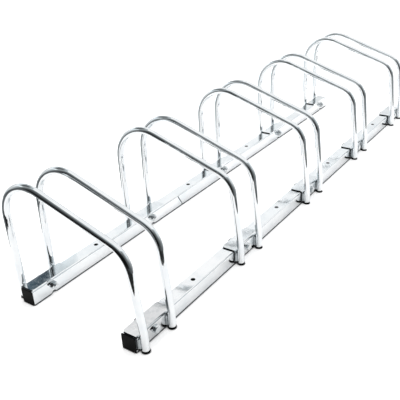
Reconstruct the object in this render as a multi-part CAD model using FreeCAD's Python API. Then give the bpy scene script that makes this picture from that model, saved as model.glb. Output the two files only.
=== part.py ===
import FreeCAD, Part
import math
import os

Vec = FreeCAD.Vector

# Floor bike rack for five wheels, in millimetres. X runs along the rack, +Y is the rear side with the
# upright hoop legs, Z is up, and the floor is the plane Z = 0 with the origin under the middle.

# Wheel places: each has a pair of hoops, and the wheel stands between them.
place_count = 5
place_pitch = 300.0
wheel_slot = 57.2            # clear width between the two hoops of a place, at the floor
hoop_splay = 0.75            # degrees that each hoop leans away from its wheel

# Rails: two square tubes on the floor, along X.
rail_gauge = 242.0           # centre line of the front rail to centre line of the rear rail
rail_side = 30.0
rail_wall = 1.5
rail_corner = 3.0            # outer corner radius
rail_lip = 1.8               # length of tube that shows beyond the outermost saddle

# Each rail is a long and a short piece, joined over an inner sleeve at the fourth place.
joint_from_place = 28.0      # from the bolt of the place to the seam
sleeve_length = 100.0
sleeve_wall = 1.5
sleeve_inner_corner = 0.5
sleeve_clearance = 0.3

# Holes for fixing the rack to the floor, between the places.
fixing_hole = 9.0
inner_fixing_shift = 10.0    # from the middle of the gap beside the centre place, towards that place
outer_fixing_shift = 15.0    # from the middle of the next gap, away from the centre

# Slanted slot in the inner wall of each rail, in the second gap between places.
slot_width = 2.5
slot_top_shift = 52.0        # from the middle of the gap, away from the centre
slot_bottom_shift = 38.0
slot_top_margin = 2.0
slot_bottom_margin = 2.0

# Half-round notch at the foot of the inner wall, under each bolt.
notch_width = 13.0
notch_height = 6.0

# Saddles: bent plates over a rail, with a flange down its outer face that carries two hoop legs.
saddle_length = 91.0
saddle_sheet = 2.5
saddle_bend_clearance = 0.5  # the inner bend is this much tighter than the rail's corner
saddle_setback = 1.0         # from the inner face of the rail to the edge of the plate
saddle_ground_gap = 5.0
saddle_corner = 4.0          # rounding of the flange's lower corners
plate_corner = 5.0           # rounding of the plate's inner corners

# Hoops: one bent round tube each, upright at the rear and leaning at the front.
tube_diameter = 14.0
tube_wall = 1.2
leg_seat_gap = 0.1           # between a leg and the flange that it is welded to
rear_height = 271.0          # floor to the corner where rear leg and top bar would meet
bar_slope = 18.2             # degrees that the top bar drops towards the front
rear_bend = 73.0             # bend radii, on the centre line
front_bend = 48.5
front_lean = 6.7             # degrees that the front leg leans inwards above its knee
knee_height = 34.0
knee_bend = 100.0

# Foot caps in the tube ends, and plugs in the rail ends.
cap_diameter = 15.0
cap_height = 4.0
cap_chamfer = 0.6
cap_stem = 8.0
cap_clearance = 0.3
plug_flange = 1.2
plug_round = 0.7
plug_stem = 15.0
plug_wall = 2.0
plug_clearance = 0.3

# One bolt at each end of each pair, through the flange and both walls of the rail.
bolt_height = 19.0
bolt_diameter = 8.0
bolt_head_flats = 13.0
bolt_head_height = 5.3
head_chamfer_rise = 30.0     # degrees between the chamfer of heads and nuts and their outer face
bolt_tip_chamfer = 0.8
bolt_hole_clearance = 0.25
bolt_end = 3.0               # length that stands out of the nut
washer_diameter = 16.0
washer_thickness = 1.6
washer_clearance = 0.2
nut_flats = 13.0
nut_height = 6.5
nut_clearance = 0.1

# Weld beads, one up each side of each leg, between the leg and its flange.
bead_radius = 1.9
bead_from_leg = 6.1          # from the middle of the leg, along the rack
bead_out = 0.8               # from the flange's face to the middle of the bead
bead_bottom = 8.0
bead_top = 25.5

# Sizes that follow from the ones above.
place_middle = (place_count + 1) / 2
place_x = [(place - place_middle) * place_pitch for place in range(1, place_count + 1)]
leg_spacing = wheel_slot + tube_diameter
rail_y = rail_gauge / 2
rail_outer_y = rail_y + rail_side / 2
rail_inner_y = rail_y - rail_side / 2
rail_end_x = place_x[-1] + saddle_length / 2 + rail_lip
flange_outer_y = rail_outer_y + saddle_sheet
leg_y = flange_outer_y + leg_seat_gap + tube_diameter / 2
rail_bore = rail_side - 2 * rail_wall
joint_x = place_x[3] - joint_from_place
bolt_hole = bolt_diameter + 2 * bolt_hole_clearance


def rounded_wire(points, radii, closed):
    """Wire through the points, each corner rounded by its radius; radius 0 leaves it sharp."""
    corners = []
    for index, (corner, radius) in enumerate(zip(points, radii)):
        if radius == 0:
            corners.append((corner, None, corner))
            continue
        to_last = (points[index - 1] - corner).normalize()
        to_next = (points[(index + 1) % len(points)] - corner).normalize()
        half_angle = to_last.getAngle(to_next) / 2
        setback = radius / math.tan(half_angle)
        bisector = (to_last + to_next).normalize()
        middle = corner + bisector * (radius / math.sin(half_angle) - radius)
        corners.append((corner + to_last * setback, middle, corner + to_next * setback))
    edges = []
    for index, (start, middle, end) in enumerate(corners):
        if middle is not None:
            edges.append(Part.Arc(start, middle, end).toShape())
        if closed or index + 1 < len(corners):
            next_start = corners[(index + 1) % len(corners)][0]
            edges.append(Part.LineSegment(end, next_start).toShape())
    return Part.Wire(edges)


def square_bar(side, corner_radius, start_x, end_x):
    """Solid square bar along the rear rail's centre line, with rounded edges."""
    half = side / 2
    centre_z = rail_side / 2
    points = [
        Vec(start_x, rail_y - half, centre_z - half),
        Vec(start_x, rail_y + half, centre_z - half),
        Vec(start_x, rail_y + half, centre_z + half),
        Vec(start_x, rail_y - half, centre_z + half),
    ]
    section = Part.Face(rounded_wire(points, [corner_radius] * 4, True))
    return section.extrude(Vec(end_x - start_x, 0, 0))


def square_tube(side, wall, inner_corner, start_x, end_x):
    """Square tube along the rear rail's centre line, open at both ends."""
    outer = square_bar(side, inner_corner + wall, start_x, end_x)
    bore = square_bar(side - 2 * wall, inner_corner, start_x, end_x)
    return outer.cut(bore)


def cross_pin(diameter, x, start_y, end_y):
    """Cylinder along Y at the height of the bolts."""
    return Part.makeCylinder(diameter / 2, end_y - start_y, Vec(x, start_y, bolt_height), Vec(0, 1, 0))


def hexagon(flats, height, x, seat_y, outward):
    """Bolt head or nut on the seat, with two flats level and a chamfered end; outward is +1 or -1 along Y."""
    radius = flats / math.sqrt(3)
    points = []
    for step in range(7):
        angle = math.radians(60 * step)
        points.append(Vec(x + radius * math.cos(angle), seat_y, bolt_height + radius * math.sin(angle)))
    prism = Part.Face(Part.makePolygon(points)).extrude(Vec(0, outward * height, 0))
    end_radius = 0.95 * flats / 2
    seat_radius = end_radius + height / math.tan(math.radians(head_chamfer_rise))
    seat = Vec(x, seat_y, bolt_height)
    return prism.common(Part.makeCone(seat_radius, end_radius, height, seat, Vec(0, outward, 0)))


def turned(shape):
    """The same piece on the opposite side: half a turn about Z."""
    copy = shape.copy()
    copy.rotate(Vec(0, 0, 0), Vec(0, 0, 1), 180)
    return copy


def bolt_holes():
    """Cutters for the bolt holes, through both walls of the rail and the flange."""
    return [cross_pin(bolt_hole, x, rail_inner_y - 1, flange_outer_y + 1) for x in place_x]


def fixing_holes():
    """Cutters for the vertical holes that fix the rail to the floor."""
    inner = place_pitch / 2 - inner_fixing_shift
    outer = place_pitch * 3 / 2 + outer_fixing_shift
    cutters = []
    for x in (-outer, -inner, inner, outer):
        cutters.append(Part.makeCylinder(fixing_hole / 2, rail_side + 2, Vec(x, rail_y, -1)))
    return cutters


def notches():
    """Cutters for the half-round notches at the foot of the inner wall."""
    radius = (notch_height ** 2 + (notch_width / 2) ** 2) / (2 * notch_height)
    centre_z = notch_height - radius
    cutters = []
    for x in place_x:
        start = Vec(x, rail_inner_y - 1, centre_z)
        cutters.append(Part.makeCylinder(radius, rail_wall + 2, start, Vec(0, 1, 0)))
    return cutters


def slanted_slot():
    """Cutter for the slanted slot in the inner wall, round at both ends."""
    gap_middle = -place_pitch / 2
    half = slot_width / 2
    top = Vec(gap_middle - slot_top_shift, rail_inner_y - 1, rail_side - slot_top_margin - half)
    bottom = Vec(gap_middle - slot_bottom_shift, rail_inner_y - 1, slot_bottom_margin + half)
    along = (top - bottom).normalize()
    across = Vec(along.z, 0, -along.x) * half
    points = [bottom - across, bottom + across, top + across, top - across, bottom - across]
    depth = Vec(0, rail_wall + 1.5, 0)
    slot = Part.Face(Part.makePolygon(points)).extrude(depth)
    for end in (top, bottom):
        slot = slot.fuse(Part.makeCylinder(half, depth.y, end, Vec(0, 1, 0)))
    return slot


def rail_piece(start_x, end_x):
    """A length of the rear rail with its holes, notches and slot."""
    tube = square_tube(rail_side, rail_wall, rail_corner - rail_wall, start_x, end_x)
    return tube.cut(bolt_holes() + fixing_holes() + notches() + [slanted_slot()])


def sleeve():
    """Inner tube that joins the two pieces of a rail, held by the bolt beside the seam."""
    side = rail_bore - 2 * sleeve_clearance
    start_x = joint_x - sleeve_length / 2
    tube = square_tube(side, sleeve_wall, sleeve_inner_corner, start_x, start_x + sleeve_length)
    return tube.cut(bolt_holes())


def rail_plug():
    """Plastic plug in the +X end of the rear rail: a cushioned flange and a hollow stem."""
    flange = square_bar(rail_side, rail_corner, rail_end_x, rail_end_x + plug_flange)
    outer_edges = []
    for edge in flange.Edges:
        if edge.BoundBox.XMin > rail_end_x + plug_flange - 0.01:
            outer_edges.append(edge)
    flange = flange.makeFillet(plug_round, outer_edges)
    stem_side = rail_bore - 2 * plug_clearance
    stem_start = rail_end_x - plug_stem
    stem = square_tube(stem_side, plug_wall, sleeve_inner_corner, stem_start, rail_end_x)
    return flange.fuse(stem)


def saddle(x):
    """Plate bent over the rear rail at a place, with the flange that carries the hoop legs."""
    inner_radius = rail_corner - saddle_bend_clearance
    outer_radius = inner_radius + saddle_sheet
    start_x = x - saddle_length / 2
    plate_edge_y = rail_inner_y + saddle_setback
    top_z = rail_side + saddle_sheet
    points = [
        Vec(start_x, plate_edge_y, rail_side),
        Vec(start_x, rail_outer_y, rail_side),
        Vec(start_x, rail_outer_y, saddle_ground_gap),
        Vec(start_x, flange_outer_y, saddle_ground_gap),
        Vec(start_x, flange_outer_y, top_z),
        Vec(start_x, plate_edge_y, top_z),
    ]
    radii = [0, inner_radius, 0, 0, outer_radius, 0]
    plate = Part.Face(rounded_wire(points, radii, True)).extrude(Vec(saddle_length, 0, 0))
    lower_corners = []
    for edge in plate.Edges:
        box = edge.BoundBox
        if box.ZMax < saddle_ground_gap + 0.01 and box.XLength < 0.01:
            lower_corners.append(edge)
    plate = plate.makeFillet(saddle_corner, lower_corners)
    inner_corners = []
    for edge in plate.Edges:
        box = edge.BoundBox
        if box.YMax < plate_edge_y + 0.01 and box.XLength < 0.01:
            inner_corners.append(edge)
    return plate.makeFillet(plate_corner, inner_corners).cut(bolt_holes())


def hoop(x, side):
    """One bent tube of a pair; side is -1 or +1 along X from the wheel."""
    bar_drop = math.tan(math.radians(bar_slope))
    lean = math.tan(math.radians(front_lean))
    front_rise = rear_height - bar_drop * leg_y - knee_height
    front_y = (lean * front_rise - leg_y) / (1 - lean * bar_drop)
    front_height = rear_height - bar_drop * (leg_y - front_y)
    points = [
        Vec(0, leg_y, 0),
        Vec(0, leg_y, rear_height),
        Vec(0, front_y, front_height),
        Vec(0, -leg_y, knee_height),
        Vec(0, -leg_y, 0),
    ]
    path = rounded_wire(points, [0, rear_bend, front_bend, knee_bend, 0], False)
    tube = None
    for radius in (tube_diameter / 2, tube_diameter / 2 - tube_wall):
        section = Part.Face(Part.Wire(Part.makeCircle(radius, points[0], Vec(0, 0, 1))))
        sweep = path.makePipe(section)
        tube = sweep if tube is None else tube.cut(sweep)
    tube.rotate(Vec(0, 0, 0), Vec(0, 1, 0), side * hoop_splay)
    tube.translate(Vec(x + side * leg_spacing / 2, 0, 0))
    below_ends = Part.makeBox(
        4 * tube_diameter,
        2 * leg_y + 2 * tube_diameter,
        cap_height + tube_diameter,
        Vec(x + side * leg_spacing / 2 - 2 * tube_diameter, -leg_y - tube_diameter, -tube_diameter),
    )
    return tube.cut(below_ends)


def weld_bead(x, side, flank):
    """Bead up one flank of a rear leg, against the flange; side and flank are -1 or +1 along X."""
    leg_x = x + side * leg_spacing / 2
    centre = Vec(leg_x + flank * bead_from_leg, flange_outer_y + bead_out, bead_bottom)
    bead = Part.makeCylinder(bead_radius, bead_top - bead_bottom, centre)
    for z in (bead_bottom, bead_top):
        bead = bead.fuse(Part.makeSphere(bead_radius, Vec(centre.x, centre.y, z)))
    leg = Part.makeCylinder(tube_diameter / 2 + leg_seat_gap, 2 * rail_side, Vec(0, leg_y, 0))
    leg.rotate(Vec(0, 0, 0), Vec(0, 1, 0), side * hoop_splay)
    leg.translate(Vec(leg_x, 0, 0))
    behind_face = Part.makeBox(40, 20, 2 * rail_side, Vec(centre.x - 20, flange_outer_y - 20, 0))
    return bead.cut([leg, behind_face]).removeSplitter()


def foot_cap(x):
    """Plastic cap in the lower end of a rear leg: a chamfered disc and a stem in the tube."""
    disc = cap_diameter / 2
    stem = tube_diameter / 2 - tube_wall - cap_clearance
    points = [
        Vec(0, 0, 0),
        Vec(disc - cap_chamfer, 0, 0),
        Vec(disc, 0, cap_chamfer),
        Vec(disc, 0, cap_height),
        Vec(stem, 0, cap_height),
        Vec(stem, 0, cap_height + cap_stem),
        Vec(0, 0, cap_height + cap_stem),
        Vec(0, 0, 0),
    ]
    cap = Part.Face(Part.makePolygon(points)).revolve(Vec(0, 0, 0), Vec(0, 0, 1), 360)
    cap.translate(Vec(x, leg_y, 0))
    return cap


def bolt(x):
    """Hexagon bolt from the outer side of the flange, through the rail and the nut."""
    head_y = flange_outer_y + washer_thickness
    end_y = rail_inner_y - washer_thickness - nut_height - bolt_end
    shank = cross_pin(bolt_diameter, x, end_y, head_y)
    tip = [edge for edge in shank.Edges if edge.BoundBox.YMax < end_y + 0.01]
    shank = shank.makeChamfer(bolt_tip_chamfer, tip)
    return shank.fuse(hexagon(bolt_head_flats, bolt_head_height, x, head_y, 1))


def washer(x, start_y):
    """Flat washer with its faces square to Y."""
    disc = cross_pin(washer_diameter, x, start_y, start_y + washer_thickness)
    hole = cross_pin(bolt_diameter + 2 * washer_clearance, x, start_y, start_y + washer_thickness)
    return disc.cut(hole)


def nut(x):
    """Hexagon nut on the inner side of the rail."""
    seat_y = rail_inner_y - washer_thickness
    bore = cross_pin(bolt_diameter + 2 * nut_clearance, x, seat_y - nut_height, seat_y)
    return hexagon(nut_flats, nut_height, x, seat_y, -1).cut(bore)


def on_both_rails(pieces):
    """The pieces of the rear rail followed by their turned copies on the front rail."""
    return pieces + [turned(piece) for piece in pieces]


def save(name, solids):
    """Write the solids of one named piece to its STEP file."""
    shape = solids[0] if len(solids) == 1 else Part.makeCompound(solids)
    if not shape.isValid():
        raise ValueError(name + " is not a valid shape")
    shape.exportStep(os.path.join("parts", name + ".step"))


def main():
    os.makedirs("parts", exist_ok=True)

    long_piece = rail_piece(-rail_end_x, joint_x)
    short_piece = rail_piece(joint_x, rail_end_x)
    right_plug = rail_plug()
    left_plug = right_plug.mirror(Vec(0, 0, 0), Vec(1, 0, 0))
    save("rail_rear_long", [long_piece])
    save("rail_rear_short", [short_piece])
    save("rail_front_long", [turned(long_piece)])
    save("rail_front_short", [turned(short_piece)])
    save("sleeve_rear", [sleeve()])
    save("sleeve_front", [turned(sleeve())])
    save("plug_rear_left", [left_plug])
    save("plug_rear_right", [right_plug])
    save("plug_front_left", [turned(right_plug)])
    save("plug_front_right", [turned(left_plug)])

    for number, x in enumerate(place_x, start=1):
        save("saddle_rear_%d" % number, [saddle(x)])
        save("saddle_front_%d" % number, [turned(saddle(-x))])
        save("hoop_%da" % number, [hoop(x, -1)])
        save("hoop_%db" % number, [hoop(x, 1)])

    rear_caps = []
    for x in place_x:
        for side in (-1, 1):
            rear_caps.append(foot_cap(x + side * leg_spacing / 2))
    save("foot_caps_rear", rear_caps)
    save("foot_caps_front", [turned(cap) for cap in rear_caps])

    beads = [weld_bead(x, side, flank) for x in place_x for side in (-1, 1) for flank in (-1, 1)]
    save("welds_rear", beads)
    save("welds_front", [turned(bead) for bead in beads])

    outer_washers = [washer(x, flange_outer_y) for x in place_x]
    inner_washers = [washer(x, rail_inner_y - washer_thickness) for x in place_x]
    save("bolts", on_both_rails([bolt(x) for x in place_x]))
    save("washers_outer", on_both_rails(outer_washers))
    save("washers_inner", on_both_rails(inner_washers))
    save("nuts", on_both_rails([nut(x) for x in place_x]))


main()
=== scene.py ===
import math

import bpy
from mathutils import Matrix, Vector

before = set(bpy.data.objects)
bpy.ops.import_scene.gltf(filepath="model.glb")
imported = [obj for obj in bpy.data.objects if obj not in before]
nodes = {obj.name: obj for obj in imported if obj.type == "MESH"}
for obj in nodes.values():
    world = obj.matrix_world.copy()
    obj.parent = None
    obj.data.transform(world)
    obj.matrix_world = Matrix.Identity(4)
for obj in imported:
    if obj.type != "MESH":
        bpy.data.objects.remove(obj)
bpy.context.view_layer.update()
scene = bpy.context.scene


# ---------------------------------------------------------------- material helpers

class Graph:
    """A material's or world's node tree, with short calls to add nodes and links."""

    def __init__(self, owner):
        owner.use_nodes = True
        self.tree = owner.node_tree
        self.tree.nodes.clear()

    def add(self, kind, inputs=None, **settings):
        node = self.tree.nodes.new(kind)
        for name, value in settings.items():
            setattr(node, name, value)
        for name, value in (inputs or {}).items():
            self.put(node.inputs[name], value)
        return node

    def put(self, socket, value):
        if isinstance(value, bpy.types.NodeSocket):
            self.tree.links.new(value, socket)
        else:
            socket.default_value = value

    def math(self, operation, a, b=0.0):
        node = self.add("ShaderNodeMath", operation=operation)
        self.put(node.inputs[0], a)
        self.put(node.inputs[1], b)
        return node.outputs[0]

    def plus(self, a, b):
        return self.math("ADD", a, b)

    def times(self, a, b):
        return self.math("MULTIPLY", a, b)

    def position(self, scale=(1, 1, 1), offset=(0, 0, 0)):
        """Object coordinates in metres, stretched by scale."""
        source = self.add("ShaderNodeTexCoord").outputs["Object"]
        mapping = self.add("ShaderNodeMapping", {"Vector": source, "Scale": scale, "Location": offset})
        return mapping.outputs[0]

    def noise(self, vector, scale, detail, roughness):
        values = {"Vector": vector, "Scale": scale, "Detail": detail, "Roughness": roughness}
        return self.add("ShaderNodeTexNoise", values).outputs["Fac"]

    def spread(self, value, low, high, to_low, to_high):
        """Smoothly maps low..high to to_low..to_high and holds the ends."""
        node = self.add("ShaderNodeMapRange", interpolation_type="SMOOTHSTEP")
        for index, number in enumerate((value, low, high, to_low, to_high)):
            self.put(node.inputs[index], number)
        return node.outputs[0]

    def blend(self, factor, first, second):
        node = self.add("ShaderNodeMix", data_type="RGBA")
        self.put(node.inputs[0], factor)
        self.put(node.inputs[6], first)
        self.put(node.inputs[7], second)
        return node.outputs[2]

    def bump(self, height, strength, distance, normal=None):
        values = {"Height": height, "Strength": strength, "Distance": distance}
        if normal is not None:
            values["Normal"] = normal
        return self.add("ShaderNodeBump", values).outputs[0]

    def surface(self, shader):
        self.add("ShaderNodeOutputMaterial", {"Surface": shader.outputs[0]})


def start_material(name):
    material = bpy.data.materials.new(name)
    return material, Graph(material)


def rgb(red, green, blue):
    return (red, green, blue, 1.0)


# ---------------------------------------------------------------- finishes

# Noise scales count features per metre, and depths are in metres.
CLOUD_SCALE = 22.0
HAZE_SCALE = 60.0
HAZE_OFFSET = (3, 1, 2)
PIT_SCALE = 900.0
PIT_OFFSET = (5, 5, 5)
PIT_DEPTH = 0.00002
SPANGLE_SCALE = 210.0
SPANGLE_GREY = rgb(0.42, 0.47, 0.50)
# Painted shade for the plates' end faces.
END_FACE_SHADE = rgb(0.045, 0.05, 0.055)

RUB_SCALE = 140.0
GRAIN_SCALE = 2400.0
GRAIN_DEPTH = 0.00003


def zinc(name, pale, dull, roughness, streak_scale, streak_depth, spangle=0.0, shade_end_faces=False):
    """Bright zinc plating: a pale metal with cloudy tint, drawing lines, fine pits and a little haze."""
    material, g = start_material(name)
    clouds = g.noise(g.position(), CLOUD_SCALE, 4.0, 0.55)
    tint = g.blend(g.spread(clouds, 0.35, 0.68, 0.0, 1.0), pale, dull)
    if spangle:
        cell_values = {"Vector": g.position(), "Scale": SPANGLE_SCALE, "Randomness": 1.0}
        cells = g.add("ShaderNodeTexVoronoi", cell_values)
        shade = g.spread(cells.outputs["Color"], 0.2, 0.8, 0.0, spangle)
        tint = g.blend(shade, tint, SPANGLE_GREY)
    if shade_end_faces:
        # Painted shade: the faces that look along the rails, the sheet's cut ends, are darkened to near
        # black in place of the dark they reflect and the shadow at them.
        facing = g.add("ShaderNodeTexCoord").outputs["Normal"]
        along = g.add("ShaderNodeSeparateXYZ", {"Vector": facing}).outputs[0]
        end_shade = g.spread(g.math("ABSOLUTE", along), 0.8, 0.95, 0.0, 1.0)
        tint = g.blend(end_shade, tint, END_FACE_SHADE)
    haze = g.noise(g.position(offset=HAZE_OFFSET), HAZE_SCALE, 3.0, 0.6)
    rough = g.spread(haze, 0.3, 0.75, roughness[0], roughness[1])
    lines = g.noise(g.position(streak_scale), 1.0, 3.0, 0.6)
    normal = g.bump(lines, 1.0, streak_depth)
    pits = g.noise(g.position(offset=PIT_OFFSET), PIT_SCALE, 2.0, 0.7)
    normal = g.bump(g.spread(pits, 0.55, 0.8, 0.0, 1.0), 0.35, PIT_DEPTH, normal)
    values = {"Base Color": tint, "Metallic": 1.0, "Roughness": rough, "Normal": normal}
    g.surface(g.add("ShaderNodeBsdfPrincipled", values))
    return material


def black_plastic(name):
    """Moulded black polyethylene: semi-gloss, with fine grain and paler rubbed patches."""
    material, g = start_material(name)
    rubbed = g.spread(g.noise(g.position(), RUB_SCALE, 4.0, 0.65), 0.52, 0.75, 0.0, 1.0)
    tint = g.blend(rubbed, rgb(0.001, 0.001, 0.0013), rgb(0.005, 0.005, 0.006))
    rough = g.spread(rubbed, 0.0, 1.0, 0.30, 0.52)
    grain = g.noise(g.position(), GRAIN_SCALE, 2.0, 0.6)
    normal = g.bump(grain, 0.5, GRAIN_DEPTH)
    values = {"Base Color": tint, "Roughness": rough, "Normal": normal,
              "IOR": 1.48, "Specular IOR Level": 0.04}
    g.surface(g.add("ShaderNodeBsdfPrincipled", values))
    return material


def named(*prefixes):
    return [name for name in nodes if name.startswith(prefixes)]


def dress(names, material):
    """Give CAD nodes their material on every slot."""
    for name in names:
        mesh = nodes[name].data
        if not mesh.materials:
            mesh.materials.append(material)
        for index in range(len(mesh.materials)):
            mesh.materials[index] = material


tube_zinc = zinc("zinc_tube", rgb(0.92, 0.94, 0.95), rgb(0.84, 0.87, 0.89),
                 (0.02, 0.06), (700, 5, 5), 0.000006)
rail_zinc = zinc("zinc_rail", rgb(0.95, 0.965, 0.975), rgb(0.87, 0.90, 0.92),
                 (0.04, 0.10), (6, 500, 500), 0.000006)
plate_zinc = zinc("zinc_plate", rgb(0.94, 0.955, 0.965), rgb(0.84, 0.87, 0.89),
                  (0.05, 0.13), (12, 300, 300), 0.000008, spangle=0.12, shade_end_faces=True)
# Painted shade: a darker copy of the plate zinc, standing in for the greyer things the near front plate
# reflects.
shaded_plate_zinc = zinc("zinc_plate_painted_shade", rgb(0.80, 0.805, 0.81), rgb(0.70, 0.71, 0.72),
                 (0.05, 0.13), (12, 300, 300), 0.000008, spangle=0.18, shade_end_faces=True)
weld_zinc = zinc("zinc_weld", rgb(0.52, 0.55, 0.57), rgb(0.16, 0.18, 0.19),
                 (0.16, 0.32), (40, 40, 900), 0.0003)
bolt_zinc = zinc("zinc_fastener", rgb(0.82, 0.84, 0.85), rgb(0.62, 0.65, 0.67),
                 (0.14, 0.28), (200, 200, 200), 0.00002)
plastic = black_plastic("black_plastic")

dress(named("hoop_"), tube_zinc)
dress(named("rail_", "sleeve_"), rail_zinc)
dress(named("saddle_"), plate_zinc)
# The near front plate gets the darker, painted-shade copy of the plate zinc.
dress(["saddle_front_1"], shaded_plate_zinc)
dress(named("welds_"), weld_zinc)
dress(["bolts", "nuts", "washers_outer", "washers_inner"], bolt_zinc)
dress(named("plug_", "foot_caps"), plastic)


# ---------------------------------------------------------------- floor

FLOOR_REACH = 9
FLOOR_Z = -0.0002
ONE_FACE = [(0, 1, 2, 3)]

# Painted contact shade: within these reaches the paper's colour goes towards near black and its glow fades.
CONTACT_SHADE_REACH = 0.004
CORNER_REACH = 0.05
OCCLUSION_SAMPLES = 8
CONTACT_SHADE_DARK = rgb(0.10, 0.105, 0.11)
PAPER_WHITE = rgb(0.93, 0.93, 0.93)
CAMERA_LIFT = 0.50
REFLECTION_LIFT = 0.20


def plain_mesh(name, corners, faces):
    mesh = bpy.data.meshes.new(name)
    mesh.from_pydata(corners, [], faces)
    mesh.update()
    obj = bpy.data.objects.new(name, mesh)
    scene.collection.objects.link(obj)
    return obj


def openness(g, reach):
    """1 in the open, less where something stands within reach."""
    return g.add("ShaderNodeAmbientOcclusion", {"Distance": reach}, samples=OCCLUSION_SAMPLES).outputs["AO"]


def floor_material():
    """White paper, which keeps the object's shadow and looks white to the camera and in reflections, with
    painted shade: its colour darkens and its glow fades where something stands close.
    """
    material, g = start_material("floor")
    contact_open = openness(g, CONTACT_SHADE_REACH)
    corner = openness(g, CORNER_REACH)
    # Painted contact shadow: the paper's colour goes near black where something stands within a few
    # millimetres.
    tone = g.blend(g.spread(contact_open, 0.45, 0.90, 0.0, 1.0), CONTACT_SHADE_DARK, PAPER_WHITE)
    diffuse = g.add("ShaderNodeBsdfDiffuse", {"Color": tone})
    path = g.add("ShaderNodeLightPath")
    lift = g.plus(g.times(path.outputs["Is Camera Ray"], CAMERA_LIFT),
                  g.times(path.outputs["Is Glossy Ray"], REFLECTION_LIFT))
    # Painted shade: the glow fades where something stands close.
    in_the_open = g.times(g.spread(contact_open, 0.45, 0.95, 0.0, 1.0), g.spread(corner, 0.10, 0.35, 0.0, 1.0))
    glow = g.add("ShaderNodeEmission", {"Color": rgb(1, 1, 1), "Strength": g.times(lift, in_the_open)})
    both = g.add("ShaderNodeAddShader")
    g.put(both.inputs[0], diffuse.outputs[0])
    g.put(both.inputs[1], glow.outputs[0])
    g.surface(both)
    return material


floor_corners = [(-FLOOR_REACH, -FLOOR_REACH, FLOOR_Z), (FLOOR_REACH, -FLOOR_REACH, FLOOR_Z),
                 (FLOOR_REACH, FLOOR_REACH, FLOOR_Z), (-FLOOR_REACH, FLOOR_REACH, FLOOR_Z)]
floor = plain_mesh("floor", floor_corners, ONE_FACE)
floor.data.materials.append(floor_material())


# ---------------------------------------------------------------- cards for reflections

# The studio round the rack, set from what the photograph's tubes reflect.
LEFT_X = -1.30
RIGHT_X = 2.6
NEAR_Y = -2.4
FAR_Y = 2.4
CARD_FOOT = 0.001
SHADE_Y = 1.145
PATCH_Y = 1.140
COOL_WHITE = rgb(0.93, 1.0, 1.03)
PALE_WHITE = rgb(0.98, 1.0, 1.01)
BLUE_TINT = rgb(0.66, 1.0, 1.28)


def card_material(name, level_of, tint):
    """level_of gives the card's brightness from the place on it."""
    material, g = start_material(name)
    axes = g.add("ShaderNodeSeparateXYZ", {"Vector": g.position()})
    g.surface(g.add("ShaderNodeEmission", {"Color": tint, "Strength": level_of(g, *axes.outputs)}))
    return material


def card(name, corners, faces, level_of, tint=COOL_WHITE):
    """A staged card that only reflections see."""
    obj = plain_mesh(name, corners, faces)
    obj.data.materials.append(card_material(name, level_of, tint))
    obj.visible_camera = False
    obj.visible_diffuse = False
    obj.visible_transmission = False
    obj.visible_shadow = False


def upright(start, end, foot, top):
    """Corners of a standing rectangle between two places on the floor."""
    return [(*start, foot), (*end, foot), (*end, top), (*start, top)]


def ground_level(g, x, y, z):
    """Dark beside the left end of the white paper, grey in front of it and behind it."""
    front = g.times(g.spread(y, -0.62, -0.48, 1.0, 0.15), g.spread(x, -1.1, 0.6, 0.06, 0.30))
    far = g.plus(g.spread(x, -1.05, -0.6, 0.05, 0.26), g.spread(y, 0.9, 1.6, 0.0, 0.4))
    far = g.plus(far, g.spread(x, -0.45, 0.25, 0.0, 0.45))
    back = g.times(g.spread(y, 0.28, 0.36, 0.0, 1.0), far)
    return g.plus(g.plus(front, back), 0.01)


def end_level(g, x, y, z):
    """Near black at the rack's level, paler behind the rack and high up."""
    back = g.spread(y, 0.6, 1.6, 0.0, 0.5)
    front = g.spread(y, -2.2, -0.6, 0.10, 0.0)
    low = g.times(g.spread(z, 0.25, 0.60, 0.0, 0.07), g.spread(y, -0.5, 0.4, 0.35, 1.0))
    lamp = g.times(g.spread(z, 0.72, 1.3, 0.0, 0.5), g.spread(y, -1.4, -0.6, 0.15, 1.0))
    lamp = g.times(lamp, g.spread(y, 0.0, 0.5, 1.0, 0.2))
    top = g.plus(g.spread(z, 1.6, 2.6, 0.003, 0.45), lamp)
    return g.plus(g.plus(front, back), g.plus(low, top))


def wall_level(g, x, y, z):
    """Grey behind the camera, paler to the right and high up there."""
    wide = g.spread(x, -0.9, 1.8, 0.12, 0.40)
    right = g.times(g.spread(x, -0.9, 0.2, 0.0, 0.30), g.spread(z, 0.4, 1.5, 0.0, 1.0))
    top = g.spread(z, 2.9, 3.5, 0.0, 0.5)
    return g.plus(wide, g.plus(right, top))


def pale_level(g, x, y, z):
    """Pale grey low down, white above."""
    return g.spread(z, 0.25, 1.05, 0.66, 0.98)


def shade_level(g, x, y, z):
    """Darkest in the middle, behind the near end of the rear rail."""
    sides = g.plus(g.spread(x, -1.2, -0.75, 0.20, 0.0), g.spread(x, -0.45, 0.15, 0.0, 0.35))
    ends = g.plus(g.spread(z, 0.62, 1.0, 0.9, 0.0), g.spread(z, 1.5, 2.1, 0.0, 0.30))
    return g.plus(0.11, g.plus(sides, ends))


def patch_level(g, x, y, z):
    """A small dark patch, darker to the right."""
    return g.spread(x, 0.0, 0.19, 0.13, 0.06)


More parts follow.
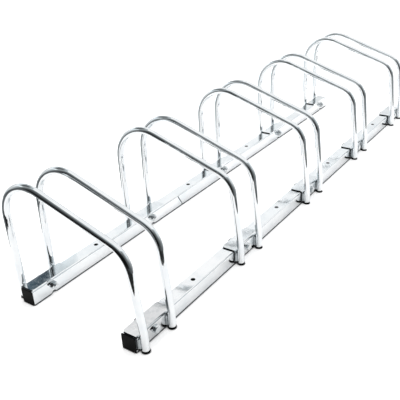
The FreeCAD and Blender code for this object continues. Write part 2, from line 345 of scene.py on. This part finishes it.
# The darker ground round the left end of the white paper: pairs of inner and outer corners.
rim = [((2.2, -0.49), (2.2, NEAR_Y)),
       ((-0.40, -0.475), (-0.40, NEAR_Y)),
       ((-0.60, -0.475), (-0.90, NEAR_Y)),
       ((-0.71, -0.43), (LEFT_X, NEAR_Y)),
       ((-0.795, -0.32), (LEFT_X, -1.2)),
       ((-0.825, -0.22), (LEFT_X, -0.6)),
       ((-0.86, -0.13), (LEFT_X, -0.13)),
       ((-0.93, 0.13), (LEFT_X, 0.13)),
       ((-0.88, 0.28), (LEFT_X, 0.6)),
       ((-0.79, 0.345), (LEFT_X, 1.2)),
       ((-0.70, 0.335), (LEFT_X, FAR_Y)),
       ((2.2, 0.36), (2.2, FAR_Y))]
rim_corners = [(x, y, CARD_FOOT) for pair in rim for x, y in pair]
rim_faces = [(2 * i, 2 * i + 1, 2 * i + 3, 2 * i + 2) for i in range(len(rim) - 1)]
card("dark_ground", rim_corners, rim_faces, ground_level)

# The dark end at the left, the grey wall in front, and the pale walls behind the rack and at the right.
card("dark_end", upright((LEFT_X, NEAR_Y), (LEFT_X, FAR_Y), CARD_FOOT, 2.9), ONE_FACE, end_level)
card("grey_wall", upright((-1.7, NEAR_Y), (RIGHT_X, NEAR_Y), CARD_FOOT, 3.5), ONE_FACE, wall_level)
turn_of_walls = [(LEFT_X, FAR_Y), (RIGHT_X, FAR_Y), (RIGHT_X, NEAR_Y)]
wall_corners = [(x, y, z) for z in (CARD_FOOT, 2.2) for x, y in turn_of_walls]
card("pale_walls", wall_corners, [(0, 1, 4, 3), (1, 2, 5, 4)], pale_level, PALE_WHITE)

# Dark cards that stand between the rack and the far wall.
card("dark_shade", upright((LEFT_X, SHADE_Y), (0.35, SHADE_Y), 0.62, 2.6), ONE_FACE, shade_level)
card("dark_patch", upright((0.0, PATCH_Y), (0.19, PATCH_Y), 0.75, 0.95), ONE_FACE, patch_level, BLUE_TINT)


# ---------------------------------------------------------------- light

SKY_LIGHT = 0.72
SKY_SEEN = 1.0

world = bpy.data.worlds.new("studio")
scene.world = world
sky_graph = Graph(world)
path = sky_graph.add("ShaderNodeLightPath")
seen = sky_graph.math("MAXIMUM", path.outputs["Is Camera Ray"], path.outputs["Is Glossy Ray"])
seen = sky_graph.math("MAXIMUM", seen, path.outputs["Is Transmission Ray"])
strength = sky_graph.spread(seen, 0.0, 1.0, SKY_LIGHT, SKY_SEEN)
sky = sky_graph.add("ShaderNodeBackground", {"Color": rgb(1, 1, 1), "Strength": strength})
sky_graph.add("ShaderNodeOutputWorld", {"Surface": sky.outputs[0]})

key_data = bpy.data.lights.new("key", "AREA")
key_data.shape = "RECTANGLE"
key_data.size = 2.2
key_data.size_y = 1.6
key_data.energy = 42
key = bpy.data.objects.new("key", key_data)
key.location = (1.3, 1.0, 2.4)
key.rotation_euler = (Vector((0, 0, 0)) - key.location).to_track_quat("-Z", "Y").to_euler()
key.visible_glossy = False
scene.collection.objects.link(key)

scene.view_settings.view_transform = "Standard"


# ---------------------------------------------------------------- camera

PICTURE_PX = 400
SENSOR_MM = 36
HALF_PIXEL = 0.5 / PICTURE_PX


def photo_camera(place, azimuth, drop, roll, focal_px):
    """Camera at the photograph's angle: azimuth from +Y towards +X, drop below the horizon, in degrees."""
    a, e, r = (math.radians(value) for value in (azimuth, drop, roll))
    forward = Vector((math.sin(a) * math.cos(e), math.cos(a) * math.cos(e), -math.sin(e)))
    right = forward.cross(Vector((0, 0, 1))).normalized()
    up = right.cross(forward)
    right, up = (math.cos(r) * right + math.sin(r) * up, math.cos(r) * up - math.sin(r) * right)
    data = bpy.data.cameras.new("camera")
    data.sensor_width = SENSOR_MM
    data.lens = focal_px * SENSOR_MM / PICTURE_PX
    data.clip_start = 0.01
    data.clip_end = 100
    # Half a pixel of shift centres the frame as the photograph's.
    data.shift_x = -HALF_PIXEL
    data.shift_y = HALF_PIXEL
    camera = bpy.data.objects.new("camera", data)
    turn = Matrix((right, up, -forward)).transposed().to_4x4()
    camera.matrix_world = Matrix.Translation(place) @ turn
    scene.collection.objects.link(camera)
    return camera


scene.camera = photo_camera(place=(-1.1841, -0.6615, 0.6513), azimuth=54.39, drop=27.09, roll=-2.80,
                            focal_px=592.1)
